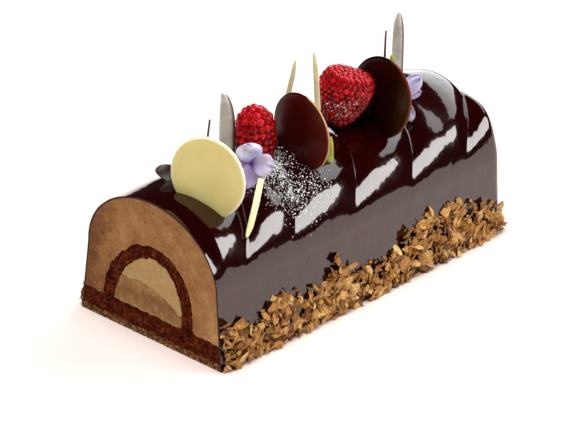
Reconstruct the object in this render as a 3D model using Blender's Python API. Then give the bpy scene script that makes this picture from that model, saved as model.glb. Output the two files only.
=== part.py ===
"""A chocolate yule log, cut at one end, with its layers, mirror glaze, crushed wafer border and decorations.

Lengths are millimetres until a mesh is made, and MM turns them into metres. The log lies along X with its cut
face at the low X end. While it is modelled, x is the distance from the cut face, y is the distance from the
log's middle and z is the height above the table. At the end everything moves so that the origin is at the
middle of the whole cake's bottom.
"""

import math
import random

import bmesh
import bpy
import numpy as np
from mathutils import Matrix, Vector

MM = 0.001
GAP = 0.3

# The log's outer form
LENGTH = 191.0
SPRING_Z = 36.2
TOP_HALF_WIDTH = 40.6
TOP_RISE = 32.2
FOOT_HALF_FRONT = 42.5
FOOT_HALF_BACK = 46.5
END_CORNER = 4.5
INNER_CORNER = 0.9
CORNER_STEPS = 4

# The moulded pillows on the upper part of the log
PILLOW_HEIGHT = 2.64
PILLOW_POWER = 2.43
PILLOW_LEAN = 1.14
PILLOW_REACH = 55.1
PILLOW_FOOT = 52.9
PILLOW_EDGE = 26.0
EDGE_FULLNESS = 2.4
PILLOW_SWEEP = 24.1
SWEEP_BEND = 1.2
END_SWEEP = 0.27
END_SWEEP_FROM = 150.0
CREST_SHARE = 1.19
CREST_FADE = 32.9
BACK_SHARE = 0.75
CUT_TAPER = 8.0
BACK_TAPER = 60.0
SIDE_BLEND = 14.0
VALLEYS = (-63.5, -24.0, 15.7, 46.1, 85.8, 124.4, 162.0, 191.5, 226.5)

# The glaze
GLAZE_THICK = 1.6
GLAZE_CLEAR = 0.4
CHORD_ROOM = 0.1
GLAZE_COLUMNS = 36
RELIEF_ROW_STEP = 5.4
RELIEF_ROWS_END = 48.9
LOWEST_RELIEF_ROW = 52.0

# The layers at the cut
CRUNCH_TOP = 3.4
SPONGE_TOP = 12.4
ARCH_FOOT = 12.4
ARCH_OUTER = {"half": 28.4, "top": 46.6, "foot_y": 3.6, "top_y": -1.6}
ARCH_INNER = {"half": 21.1, "top": 40.6, "foot_y": 3.3, "top_y": -1.2}
CREAM_LINE_TOP = 27.1
CREAM_LINE_Y = 9.0
CREAM_LINE_FALL = 0.0125

# The border of crushed wafer flakes: (x, height) along the front side
BORDER = (
    (0, 25),
    (27, 22),
    (40, 28),
    (57, 19),
    (72, 28),
    (90, 19),
    (113, 21),
    (130, 27),
    (142, 31),
    (160, 28),
    (191, 15),
)
END_BORDER_HEIGHT = 14.0
END_BORDER_FALL = 0.12
FLAKE_SEED = 11
FLAKE_STEP = 11.0
FLAKE_ROW = 7.0
FLAKE_ROWS = 6
FLAKE_FIRST_Z = 3.0
FLAKE_HALF = (3.8, 6.2)
FLAKE_TILT = 0.22
FLAKE_RISE = 1.5
FLAKE_FACE = (0.5, 3.2)
FLAKE_ROOT = 0.8
FLAKE_FROM_CUT = 3.5
FLAKE_FROM_END = 4.0
END_FLAKE_STEP = 8.6
END_FLAKE_COUNT = 9
END_FLAKE_ROWS = 2

# Raspberries: rows of drupelets, the open end's share of the radius, and the share of the length between
# the places where a slope is read
BERRY_ROWS = 6
BERRY_START = 0.84
BERRY_PROBE = 0.02

# Thin pieces: steps along and across a leaf, and thicknesses
LEAF_STEPS = 5
LEAF_ACROSS = 3
BLADE_THICK = 0.9
PETAL_THICK = 0.7
STICK_THICK = 1.3
DISC_THICK = 1.8
DISC_SIDES = 32
DISC_PROFILE = ((0.0, 0.5), (0.93, 0.05), (1.0, -0.4))
DISC_DISH = 0.7
TAIL_SIDES = 7
# The flat pieces all spread along this heading
FACING = math.radians(-46.5)

random.seed(FLAKE_SEED)


def clamp(value, low=0.0, high=1.0):
    return max(low, min(high, value))


def smooth(value):
    value = clamp(value)
    return value * value * (3 - 2 * value)


def material(name, colour, roughness, metallic=0.0):
    made = bpy.data.materials.new(name)
    made.use_nodes = True
    shader = made.node_tree.nodes["Principled BSDF"]
    shader.inputs["Base Color"].default_value = (*colour, 1.0)
    shader.inputs["Roughness"].default_value = roughness
    shader.inputs["Metallic"].default_value = metallic
    return made


def add_object(name, bm, surface, smooth_angle=40):
    """Makes a named object from a bmesh in millimetres, with its faces pointing out."""
    bmesh.ops.recalc_face_normals(bm, faces=bm.faces)
    bmesh.ops.triangulate(bm, faces=[f for f in bm.faces if len(f.verts) > 4])
    bm.transform(Matrix.Scale(MM, 4))
    mesh = bpy.data.meshes.new(name)
    bm.to_mesh(mesh)
    bm.free()
    mesh.shade_smooth()
    mesh.set_sharp_from_angle(angle=math.radians(smooth_angle))
    mesh.materials.append(surface)
    made = bpy.data.objects.new(name, mesh)
    bpy.context.scene.collection.objects.link(made)
    return made


# The outer section: c is the arc distance from the crest, below 0 on the front side
ARC_STEPS = 720
ARC_ANGLE = np.linspace(0, math.pi, ARC_STEPS + 1)
ARC_Y = -TOP_HALF_WIDTH * np.cos(ARC_ANGLE)
ARC_Z = SPRING_Z + TOP_RISE * np.sin(ARC_ANGLE)
ARC_RUN = np.concatenate([[0.0], np.cumsum(np.hypot(np.diff(ARC_Y), np.diff(ARC_Z)))])
HALF_ARC = ARC_RUN[-1] / 2


def foot_half(side):
    return FOOT_HALF_FRONT if side < 0 else FOOT_HALF_BACK


def wall_length(side):
    return math.hypot(foot_half(side) - TOP_HALF_WIDTH, SPRING_Z)


def section(c):
    """The plain section's point (y, z) and its outward normal at arc distance c."""
    side = -1 if c < 0 else 1
    if abs(c) <= HALF_ARC:
        angle = float(np.interp(c + HALF_ARC, ARC_RUN, ARC_ANGLE))
        point = (-TOP_HALF_WIDTH * math.cos(angle), SPRING_Z + TOP_RISE * math.sin(angle))
        normal = Vector((-TOP_RISE * math.cos(angle), TOP_HALF_WIDTH * math.sin(angle)))
    else:
        share = (abs(c) - HALF_ARC) / wall_length(side)
        flare = foot_half(side) - TOP_HALF_WIDTH
        point = (side * (TOP_HALF_WIDTH + flare * share), SPRING_Z * (1 - share))
        normal = Vector((side * SPRING_Z, flare))
    normal.normalize()
    return Vector(point), normal


def relief(x, c):
    """Height of the moulded pillows over the plain section."""
    climb = 1 - abs(c) / PILLOW_REACH
    if climb <= 0:
        return 0.0
    sweep = PILLOW_SWEEP * (1 + END_SWEEP * smooth((x - END_SWEEP_FROM) / (LENGTH - END_SWEEP_FROM)))
    along = x - sweep * math.sin(math.pi / 2 * climb) ** SWEEP_BEND
    start = max(v for v in VALLEYS if v <= along)
    end = min(v for v in VALLEYS if v > along)
    across = (along - start) / (end - start)
    pillow = 1 - abs(2 * across ** PILLOW_LEAN - 1) ** PILLOW_POWER
    foot = clamp((PILLOW_FOOT - abs(c)) / PILLOW_EDGE)
    edge = foot ** EDGE_FULLNESS * (1 + EDGE_FULLNESS * (1 - foot))
    back = smooth(0.5 + c / (2 * SIDE_BLEND))
    full = 1 - (1 - BACK_SHARE) * back
    crest = full - (full - CREST_SHARE) * clamp((CREST_FADE - abs(c)) / CREST_FADE)
    taper = (1 - back) * smooth(x / CUT_TAPER) + back * smooth(x / BACK_TAPER)
    return PILLOW_HEIGHT * pillow * edge * crest * taper


def section_rows(step):
    """Arc distances from the front foot over the crest to the back foot, closer where the pillows are."""
    count = round(RELIEF_ROWS_END / step)
    half = [RELIEF_ROWS_END * k / count for k in range(count + 1)]
    half += [LOWEST_RELIEF_ROW, HALF_ARC, HALF_ARC + SPRING_Z / 2, HALF_ARC + wall_length(1)]
    return [-c for c in reversed(half[1:])] + half


def surface_point(x, c, lift, with_relief, z_foot):
    """A point lifted from the log's plain surface, held at z_foot at the foot."""
    height = lift + (relief(x, c) if with_relief else 0.0)
    point, normal = section(c)
    place = point + normal * height
    return Vector((x, place.x, max(place.y, z_foot)))


def log_solid(lift, x_start, x_end, z_foot, with_relief, corner=END_CORNER):
    """A closed solid inside the log's surface moved out by lift, with its far end rounded by corner."""
    rows = section_rows(RELIEF_ROW_STEP)
    columns = GLAZE_COLUMNS if with_relief else 1
    straight = x_end - corner - x_start
    stations = [(x_start + straight * k / columns, 0.0) for k in range(columns + 1)]
    for k in range(1, CORNER_STEPS + 1):
        turn = math.pi / 2 * k / CORNER_STEPS
        stations.append((x_end - corner + corner * math.sin(turn), corner * (1 - math.cos(turn))))
    bm = bmesh.new()
    grid = []
    for x, inset in stations:
        ring = [surface_point(x, c, lift - inset, with_relief, z_foot) for c in rows]
        for end in (0, -1):
            side = -1 if end == 0 else 1
            flare = foot_half(side) - TOP_HALF_WIDTH
            half = TOP_HALF_WIDTH + flare * (1 - z_foot / SPRING_Z) + lift - inset
            ring[end] = Vector((x, side * half, z_foot))
        grid.append([bm.verts.new(p) for p in ring])
    for a, b in zip(grid, grid[1:]):
        for j in range(len(rows) - 1):
            bm.faces.new((a[j], b[j], b[j + 1], a[j + 1]))
        bm.faces.new((a[0], a[-1], b[-1], b[0]))
    bm.faces.new(grid[0])
    bm.faces.new(reversed(grid[-1]))
    return bm


def apply_boolean(target, operation, other, solver="EXACT"):
    """Joins or cuts target with an object or a whole collection, applies it and removes what it used."""
    step = target.modifiers.new(operation.lower(), "BOOLEAN")
    step.operation = operation
    step.solver = solver
    if isinstance(other, bpy.types.Collection):
        step.operand_type = "COLLECTION"
        step.collection = other
        used = list(other.objects)
    else:
        step.object = other
        used = [other]
    view = bpy.context.evaluated_depsgraph_get()
    made = bpy.data.meshes.new_from_object(target.evaluated_get(view))
    target.modifiers.clear()
    target.data = made
    for piece in used:
        bpy.data.objects.remove(piece)


def keep_largest_body(target):
    """Drops loose scraps, so that the object is one closed body."""
    bm = bmesh.new()
    bm.from_mesh(target.data)
    left = set(bm.verts)
    bodies = []
    while left:
        body = set()
        stack = [left.pop()]
        while stack:
            vert = stack.pop()
            body.add(vert)
            for edge in vert.link_edges:
                other = edge.other_vert(vert)
                if other in left:
                    left.discard(other)
                    stack.append(other)
        bodies.append(body)
    largest = max(bodies, key=len)
    bmesh.ops.delete(bm, geom=[v for v in bm.verts if v not in largest], context="VERTS")
    bm.to_mesh(target.data)
    bm.free()


# Flakes

def border_height(x):
    return float(np.interp(x, [p[0] for p in BORDER], [p[1] for p in BORDER]))


def flake(place, outward, surface, collection):
    """One thin angular flake of crushed wafer: its root lies in the glaze, and its face is tilted."""
    corners = random.choice((5, 6))
    long_half = random.uniform(*FLAKE_HALF)
    short_half = long_half * random.uniform(0.5, 0.8)
    turn = random.uniform(0, 2 * math.pi)
    tilt_u, tilt_v = random.gauss(0, FLAKE_TILT), random.gauss(0, FLAKE_TILT)
    along = Vector((0, 0, 1)).cross(outward).normalized()
    upward = outward.cross(along)
    bm = bmesh.new()
    low, high = [], []
    for k in range(corners):
        angle = 2 * math.pi * (k + random.uniform(-0.25, 0.25)) / corners
        reach = random.uniform(0.8, 1.1)
        u = long_half * reach * math.cos(angle)
        v = short_half * reach * math.sin(angle)
        u, v = u * math.cos(turn) - v * math.sin(turn), u * math.sin(turn) + v * math.cos(turn)
        face = clamp(FLAKE_RISE + tilt_u * u + tilt_v * v, *FLAKE_FACE)
        for corner, depth in ((low, -FLAKE_ROOT), (high, face)):
            point = place + along * u + upward * v + outward * depth
            point.x = max(point.x, GLAZE_CLEAR)
            point.z = max(point.z, GLAZE_CLEAR)
            corner.append(bm.verts.new(point))
    bm.faces.new(reversed(low))
    bm.faces.new(high)
    for k in range(corners):
        bm.faces.new((low[k], low[(k + 1) % corners], high[(k + 1) % corners], high[k]))
    bmesh.ops.triangulate(bm, faces=bm.faces)
    made = add_object("flake", bm, surface)
    bpy.context.scene.collection.objects.unlink(made)
    collection.objects.link(made)


def wall_flakes(side, surface, collection):
    """Rows of flakes on one long side, up to the border's wavy edge."""
    for row in range(FLAKE_ROWS):
        count = round(LENGTH / FLAKE_STEP)
        for k in range(count):
            x = (k + 0.5 + 0.5 * (row % 2) + random.uniform(-0.3, 0.3)) * FLAKE_STEP
            z = FLAKE_FIRST_Z + FLAKE_ROW * row + random.uniform(-1.4, 1.4)
            reach = border_height(x if side < 0 else LENGTH - x) + random.uniform(-3.5, 1.5)
            if z > reach or not FLAKE_FROM_CUT < x < LENGTH - FLAKE_FROM_END:
                continue
            point, normal = section(side * (HALF_ARC + wall_length(side) * (1 - z / SPRING_Z)))
            flake(Vector((x, point.x, point.y)), Vector((0, normal.x, normal.y)), surface, collection)


def end_flakes(surface, collection):
    """Flakes along the foot of the far end."""
    y_first = -(END_FLAKE_COUNT - 1) / 2 * END_FLAKE_STEP
    for row in range(END_FLAKE_ROWS):
        for k in range(END_FLAKE_COUNT):
            y = y_first + END_FLAKE_STEP * (k + 0.5 * (row % 2)) + random.uniform(-1.5, 1.5)
            z = FLAKE_FIRST_Z + FLAKE_ROW * row + random.uniform(-1.2, 1.2)
            reach = END_BORDER_HEIGHT - END_BORDER_FALL * abs(y) + random.uniform(-4, 1)
            if z > reach or y > FOOT_HALF_BACK - FLAKE_HALF[1]:
                continue
            flake(Vector((LENGTH, y, z)), Vector((1, 0, 0)), surface, collection)


# Layers

def prism(name, outline, x_start, x_end, surface):
    """A layer that runs through the log: a (y, z) outline drawn out along X."""
    bm = bmesh.new()
    rings = [[bm.verts.new((x, y, z)) for y, z in outline] for x in (x_start, x_end)]
    count = len(outline)
    for k in range(count):
        bm.faces.new((rings[0][k], rings[0][(k + 1) % count], rings[1][(k + 1) % count], rings[1][k]))
    bm.faces.new(rings[0])
    bm.faces.new(reversed(rings[1]))
    return add_object(name, bm, surface)


def arch(form, grow, steps=22):
    """Points over a leaning arch from its back foot to its front foot, grown by grow."""
    points = []
    for k in range(steps + 1):
        angle = math.pi * k / steps
        rise = math.sin(angle)
        middle = form["foot_y"] + (form["top_y"] - form["foot_y"]) * rise
        y = middle + (form["half"] + grow) * math.cos(angle)
        points.append((y, ARCH_FOOT + GAP + (form["top"] + grow - ARCH_FOOT - GAP) * rise))
    return points


def inner_wall(z, inset):
    """Half widths (front, back) inside the glaze at height z on the lower walls."""
    return [foot_half(s) - (foot_half(s) - TOP_HALF_WIDTH) * z / SPRING_Z - inset for s in (-1, 1)]


def slab(name, z_low, z_high, inset, x_end, surface):
    low = inner_wall(z_low, inset)
    high = inner_wall(z_high, inset)
    outline = [(-low[0], z_low), (low[1], z_low), (high[1], z_high), (-high[0], z_high)]
    return prism(name, outline, 0.0, x_end, surface)


def mousse_outline(inset):
    """The outer mousse: a horseshoe between the glaze and the sponge arch, standing on the sponge base."""
    z_low = SPONGE_TOP + GAP
    front, back = inner_wall(z_low, inset)
    outline = [(-front, z_low)]
    for k in range(33):
        point, normal = section(HALF_ARC * (k / 16 - 1))
        outline.append(tuple(point - normal * inset))
    outline.append((back, z_low))
    outer = arch(ARCH_OUTER, GAP / 2)
    return outline + [(outer[0][0], z_low)] + outer[1:-1] + [(outer[-1][0], z_low)]


def cream_line(y):
    return CREAM_LINE_TOP - CREAM_LINE_FALL * (y - CREAM_LINE_Y) ** 2


def cream_outlines():
    """The two creams inside the arch, parted by a gently domed line."""
    inner = arch(ARCH_INNER, -GAP / 2, 30)
    above = [p for p in inner if p[1] > cream_line(p[0]) + GAP]
    below = [p for p in inner if p[1] < cream_line(p[0]) - GAP]
    back = [p for p in below if p[0] > 0]
    front = [p for p in below if p[0] < 0]
    y_front, y_back = above[-1][0], above[0][0]
    steps = [y_front + (y_back - y_front) * k / 10 for k in range(1, 10)]
    upper = above + [(y, cream_line(y) + GAP / 2) for y in steps]
    lower = front + back
    lower += [(y, cream_line(y) - GAP / 2) for y in reversed(steps)]
    return upper, lower


# Thin pieces and lofted pieces

def sheet_solid(rows, thick):
    """A thin closed solid round a grid of points, with both faces split into the same triangles."""
    count, across = len(rows), len(rows[0])
    bm = bmesh.new()
    faces = []
    for sign in (1, -1):
        layer = []
        for i in range(count):
            line = []
            for j in range(across):
                along = rows[min(i + 1, count - 1)][j] - rows[max(i - 1, 0)][j]
                cross = rows[i][min(j + 1, across - 1)] - rows[i][max(j - 1, 0)]
                normal = along.cross(cross).normalized()
                line.append(bm.verts.new(rows[i][j] + normal * sign * thick / 2))
            layer.append(line)
        faces.append(layer)
    for layer in faces:
        for i in range(count - 1):
            for j in range(across - 1):
                a, b, c, d = layer[i][j], layer[i + 1][j], layer[i + 1][j + 1], layer[i][j + 1]
                bm.faces.new((a, b, c))
                bm.faces.new((a, c, d))
    rim = [(i, 0) for i in range(count)] + [(count - 1, j) for j in range(1, across)]
    rim += [(i, across - 1) for i in range(count - 2, -1, -1)] + [(0, j) for j in range(across - 2, 0, -1)]
    top, bottom = faces
    for (i, j), (m, n) in zip(rim, rim[1:] + rim[:1]):
        bm.faces.new((top[i][j], top[m][n], bottom[m][n], bottom[i][j]))
    return bm


def swell(t, start, widest, roundness):
    """Half width, as a share of the largest, at share t of a length: it grows from start and closes round."""
    if t < widest:
        return 1 - (1 - start) * ((widest - t) / widest) ** 2
    return math.sqrt(max(0.0, 1 - ((t - widest) / (1 - widest)) ** roundness))


def leaf_rows(length, width, form, cup, curl, wave=0.0, skew=0.0):
    """A leaf in its own frame: it grows along Z, spreads along X, and cups and curls towards Y.

    form is (start, widest, roundness, tip); skew straightens one edge.
    """
    rows = []
    for i in range(LEAF_STEPS + 1):
        t = i / LEAF_STEPS
        half = width / 2 * max(form[3], swell(t, *form[:3]))
        middle = -skew * (width / 2 - half) * t
        line = []
        for j in range(LEAF_ACROSS + 1):
            v = 2 * j / LEAF_ACROSS - 1
            y = cup * v * v * math.sin(math.pi * min(1, t + 0.15)) + curl * t * t
            y += wave * math.sin(3.1 * v + 5.0 * t) * t
            line.append(Vector((middle + half * v, y, length * t)))
        rows.append(line)
    return rows


def placed(rows, foot, heading, lean, roll=0.0):
    """Stands a leaf at foot: heading in radians turns it about Z, lean and roll in degrees tip it."""
    turn = Matrix.Translation(foot) @ Matrix.Rotation(heading, 4, "Z")
    turn = turn @ Matrix.Rotation(math.radians(lean), 4, "Y") @ Matrix.Rotation(math.radians(roll), 4, "X")
    return [[turn @ p for p in line] for line in rows]


def loft(name, rings, surface):
    bm = bmesh.new()
    made = [[bm.verts.new(p) for p in ring] for ring in rings]
    count = len(rings[0])
    for a, b in zip(made, made[1:]):
        for k in range(count):
            bm.faces.new((a[k], a[(k + 1) % count], b[(k + 1) % count], b[k]))
    bm.faces.new(made[0])
    bm.faces.new(reversed(made[-1]))
    return add_object(name, bm, surface)


def stick(name, foot, tip, width, surface):
    """A flat white chocolate stick from foot to a slanted, narrowed tip."""
    foot, tip = Vector(foot), Vector(tip)
    along = (tip - foot).normalized()
    side = Vector((math.cos(FACING), math.sin(FACING), 0))
    across = (side - along * side.dot(along)).normalized()
    depth = along.cross(across)
    length = (tip - foot).length
    rings = []
    for share, wide, shift in ((0, 1.0, 0), (0.45, 1.0, 0.35), (0.8, 0.95, 0.2), (1.0, 0.3, -0.3)):
        middle = foot + along * length * share + across * shift + depth * 0.6 * math.sin(math.pi * share)
        ring = []
        for u, v in ((-1, -1), (1, -1), (1, 1), (-1, 1)):
            ring.append(middle + across * u * wide * width / 2 + depth * v * STICK_THICK / 2)
        rings.append(ring)
    return loft(name, rings, surface)


def tail(name, foot, tip, radii, surface):
    """A chocolate drop drawn out into a thread: rings of the given radii from foot to tip."""
    foot, tip = Vector(foot), Vector(tip)
    along = (tip - foot).normalized()
    across = along.orthogonal().normalized()
    depth = along.cross(across)
    rings = []
    for k, radius in enumerate(radii):
        share = k / (len(radii) - 1)
        middle = foot.lerp(tip, share) + across * 0.7 * math.sin(2.6 * share)
        ring = []
        for n in range(TAIL_SIDES):
            angle = 2 * math.pi * n / TAIL_SIDES
            ring.append(middle + (across * math.cos(angle) + depth * math.sin(angle)) * radius)
        rings.append(ring)
    return loft(name, rings, surface)


def disc(name, centre, azimuth, elevation, diameter, surface):
    """A thin round plaque, a little dished, whose face looks along azimuth and elevation in degrees."""
    azimuth, elevation = math.radians(azimuth), math.radians(elevation)
    sides = DISC_SIDES
    bm = bmesh.new()
    layers = []
    for sign in (1, -1):
        for share, dish in DISC_PROFILE if sign > 0 else reversed(DISC_PROFILE):
            height = sign * DISC_THICK / 2 * (0.45 if share == 1.0 else 1.0) + dish * DISC_DISH
            layers.append((share * diameter / 2, height))
    rings = []
    for radius, height in layers:
        if radius == 0:
            rings.append([bm.verts.new((0, 0, height))])
            continue
        ring = []
        for k in range(sides):
            angle = 2 * math.pi * k / sides
            ring.append(bm.verts.new((radius * math.cos(angle), radius * math.sin(angle), height)))
        rings.append(ring)
    for a, b in zip(rings, rings[1:]):
        for k in range(sides):
            n = (k + 1) % sides
            if len(a) == 1:
                bm.faces.new((a[0], b[k], b[n]))
            elif len(b) == 1:
                bm.faces.new((a[k], b[0], a[n]))
            else:
                bm.faces.new((a[k], b[k], b[n], a[n]))
    facing = Vector((math.cos(azimuth), math.sin(azimuth), math.tan(elevation)))
    bm.transform(Matrix.Translation(centre) @ facing.to_track_quat("Z", "Y").to_matrix().to_4x4())
    return add_object(name, bm, surface)


def raspberry(name, start, end, radius, form, columns, bulge, surface):
    """Rows of drupelets, each a small six-sided dome, on a rounded cone from its open end to its tip.

    The open end's middle is at start and the tip is at end; form is (widest, roundness), as in swell.
    """
    rows = BERRY_ROWS
    axis = Vector(end) - Vector(start)
    length = axis.length

    def at(t, turn, lift):
        wide = radius * swell(t, BERRY_START, *form)
        before = radius * swell(t - BERRY_PROBE, BERRY_START, *form)
        after = radius * swell(min(t + BERRY_PROBE, 1.0), BERRY_START, *form)
        slope = (after - before) / (2 * BERRY_PROBE)
        out = Vector((length, -slope)).normalized()
        place = wide + out.x * lift
        return Vector((place * math.cos(turn), place * math.sin(turn), length * t + out.y * lift))

    bm = bmesh.new()
    step = 2 * math.pi / columns
    pitch = 0.94 / rows
    corner = {}
    for line in range(rows + 1):
        for k in range(2 * columns):
            shift = pitch * (0.16 if (k + line) % 2 else -0.16)
            t = clamp(pitch * line + shift, 0.0, 0.985)
            corner[line, k] = bm.verts.new(at(t, step * k / 2, 0.0))
    for line in range(rows):
        for k in range(columns):
            left = 2 * k + (line % 2)
            around = [(line, left), (line, left + 1), (line, left + 2)]
            around += [(line + 1, left + 2), (line + 1, left + 1), (line + 1, left)]
            hexagon = [corner[m, n % (2 * columns)] for m, n in around]
            t_mid = pitch * (line + 0.5)
            turn_mid = step * (left + 1) / 2
            lift = bulge * random.uniform(0.85, 1.15)
            top = bm.verts.new(at(t_mid, turn_mid, lift))
            ring = []
            for vert in hexagon:
                centre = at(t_mid, turn_mid, 0.0)
                ring.append(bm.verts.new(vert.co.lerp(centre, 0.42) + (top.co - centre) * 0.72))
            for n in range(6):
                m = (n + 1) % 6
                bm.faces.new((hexagon[n], hexagon[m], ring[m], ring[n]))
                bm.faces.new((ring[n], ring[m], top))
    for line, t, height in ((0, 0.0, 0.12), (rows, 1.0, 1.03)):
        ring = [corner[line, k] for k in range(2 * columns)]
        cap = bm.verts.new(Vector((0, 0, length * height)))
        for k in range(2 * columns):
            bm.faces.new((ring[k], ring[(k + 1) % (2 * columns)], cap))
    bm.transform(Matrix.Translation(start) @ axis.to_track_quat("Z", "Y").to_matrix().to_4x4())
    bmesh.ops.triangulate(bm, faces=bm.faces)
    return add_object(name, bm, surface, 80)


def flower(name, centre, petals, throat, surface):
    """Wavy petals that grow from one small throat, joined to one solid.

    Each petal is (lean, roll, length, width, cup, curl), with its angles in degrees.
    """
    bm = bmesh.new()
    bmesh.ops.create_icosphere(bm, subdivisions=1, radius=throat)
    bm.transform(Matrix.Translation(centre))
    made = add_object(name, bm, surface)
    group = bpy.data.collections.new(name + " petals")
    bpy.context.scene.collection.children.link(group)
    for lean, roll, length, width, cup, curl in petals:
        rows = leaf_rows(length, width, (0.4, 0.5, 2.0, 0.2), cup, curl, wave=0.7)
        rows = placed(rows, Vector(centre), FACING, lean, roll)
        piece = add_object("petal", sheet_solid(rows, PETAL_THICK), surface)
        bpy.context.scene.collection.objects.unlink(piece)
        group.objects.link(piece)
    apply_boolean(made, "UNION", group)
    bpy.data.collections.remove(group)
    keep_largest_body(made)
    return made


def main():
    for old in list(bpy.data.objects):
        bpy.data.objects.remove(old)

    glaze_brown = material("glaze", (0.020, 0.008, 0.006), 0.05)
    wafer = material("wafer", (0.45, 0.24, 0.11), 0.6)
    crunch = material("crunch", (0.36, 0.19, 0.06), 0.8)
    sponge = material("sponge", (0.060, 0.018, 0.012), 0.9)
    mousse_brown = material("mousse", (0.24, 0.12, 0.065), 0.75)
    cream_pale = material("cream upper", (0.36, 0.22, 0.11), 0.7)
    cream_deep = material("cream lower", (0.30, 0.17, 0.085), 0.75)
    white = material("white chocolate", (0.78, 0.70, 0.36), 0.35)
    dark = material("dark chocolate", (0.030, 0.006, 0.005), 0.12)
    grey = material("chocolate leaf", (0.16, 0.14, 0.12), 0.2)
    berry = material("raspberry", (0.45, 0.01, 0.02), 0.35)
    lilac = material("petal", (0.42, 0.34, 0.72), 0.5)
    green = material("leaf", (0.42, 0.60, 0.08), 0.5)

    # Layers
    inset = GLAZE_THICK + GAP + CHORD_ROOM
    x_inside = LENGTH - inset
    slab("crunch_base", 0.0, CRUNCH_TOP, inset, x_inside, crunch)
    slab("sponge_base", CRUNCH_TOP + GAP, SPONGE_TOP, inset, x_inside, sponge)
    prism("mousse", mousse_outline(inset), 0.0, x_inside, mousse_brown)
    outer = arch(ARCH_OUTER, -GAP / 2)
    inner = arch(ARCH_INNER, GAP / 2)
    prism("sponge_arch", outer + inner[::-1], 0.0, x_inside, sponge)
    upper, lower = cream_outlines()
    prism("cream_upper", upper, 0.0, x_inside, cream_pale)
    prism("cream_lower", lower, 0.0, x_inside, cream_deep)

    # Glaze with its wafer border
    glaze = add_object("glaze", log_solid(0.0, 0.0, LENGTH, GLAZE_CLEAR, True), glaze_brown)
    hollow = log_solid(-GLAZE_THICK, -20.0, LENGTH - GLAZE_THICK, -20.0, False, INNER_CORNER)
    apply_boolean(glaze, "DIFFERENCE", add_object("hollow", hollow, glaze_brown))
    flakes = bpy.data.collections.new("flakes")
    bpy.context.scene.collection.children.link(flakes)
    wall_flakes(-1, wafer, flakes)
    wall_flakes(1, wafer, flakes)
    end_flakes(wafer, flakes)
    apply_boolean(glaze, "UNION", flakes, "MANIFOLD")
    bpy.data.collections.remove(flakes)
    keep_largest_body(glaze)

    # What stands on the log is cut to its surface
    ground = add_object("ground", log_solid(GAP, 0.0, LENGTH, 1.0, True), glaze_brown)
    ground.hide_render = True
    ground.display_type = "WIRE"

    standing = [
        disc("disc_white", (17.5, -18.1, 79.3), 195, 4.5, 37.0, white),
        disc("disc_dark_1", (77.8, -16.8, 81.2), 175.7, 0, 36.2, dark),
        disc("disc_dark_2", (129.0, -18.3, 81.8), 176.5, 9, 38.1, dark),
        raspberry("raspberry_1", (63.9, -1.6, 69.5), (64.6, -1.1, 92.5), 7.9, (0.4, 2.8), 11, 1.0, berry),
        raspberry("raspberry_2", (118, -9.2, 94.4), (112.0, -6.2, 70.4), 11.3, (0.24, 1.3), 12, 1.2, berry),
        stick("stick_1", (24.1, -35.2, 54.6), (44.5, -23.9, 71.7), 2.4, white),
        stick("stick_2", (81.9, 3.6, 66.0), (88.5, -3.4, 108.4), 2.5, white),
        stick("stick_3", (93.2, -12.9, 66.0), (91.9, -11.5, 113.4), 2.6, white),
        tail("twig_1", (40.4, 7.6, 66.0), (42.5, 5.5, 91.5), (0.7, 0.6, 0.55, 0.5, 0.4), dark),
        tail("twig_2", (147.6, -3, 66), (148.4, -3.9, 104.6), (2.2, 2.1, 1.8, 0.6, 0.5, 0.45), dark),
    ]
    # Blades and leaves: name, foot, length, width, form, cup, curl, skew, lean, surface
    leaves = (
        ("blade_1", (53.0, 5.5, 66.0), 36.0, 7.2, (0.9, 0.35, 2.6, 0.3), 1.2, -1.5, 0.7, 1.0, grey),
        ("blade_2", (158.6, -2.2, 66.0), 45.0, 5.4, (0.9, 0.6, 2.6, 0.3), 0.9, -1.0, 0.0, 0.5, grey),
        ("curl", (26.8, 2.7, 71.4), 15.0, 9.0, (0.8, 0.4, 2.0, 0.2), -1.5, 1.0, 0.0, -84.0, grey),
        ("leaf_green_1", (88.3, -24.3, 62.6), 14.5, 3.0, (0.6, 0.4, 1.6, 0.1), 0.6, 0.8, 0.0, 2.0, green),
        ("leaf_green_2", (153.0, -5.4, 66.0), 25.5, 4.6, (0.6, 0.4, 1.6, 0.1), 0.8, 0.6, 0.0, -3.0, green),
    )
    for name, foot, length, width, form, cup, curl, skew, lean, surface in leaves:
        rows = placed(leaf_rows(length, width, form, cup, curl, skew=skew), Vector(foot), FACING, lean)
        standing.append(add_object(name, sheet_solid(rows, BLADE_THICK), surface))
    first = (
        (-14, -8, 9.0, 12.0, 1.5, 0.6),
        (84, 6, 9.5, 10.0, -1.4, 0.5),
        (192, 8, 12.0, 8.2, 1.2, 0.5),
        (236, -12, 7.5, 7.5, 1.2, 0.8),
    )
    second = (
        (42, -6, 12.5, 8.6, 1.5, 0.8),
        (84, -20, 10.0, 6.0, 1.5, 0.8),
        (160, -6, 14.0, 6.6, -1.5, 0.8),
    )
    standing.append(flower("flower_1", (43.0, -19.6, 78.4), first, 1.8, lilac))
    standing.append(flower("flower_2", (141.0, -20.6, 79.0), second, 1.8, lilac))
    for piece in standing:
        cut = piece.modifiers.new("ground", "BOOLEAN")
        cut.operation = "DIFFERENCE"
        cut.object = ground

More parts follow.
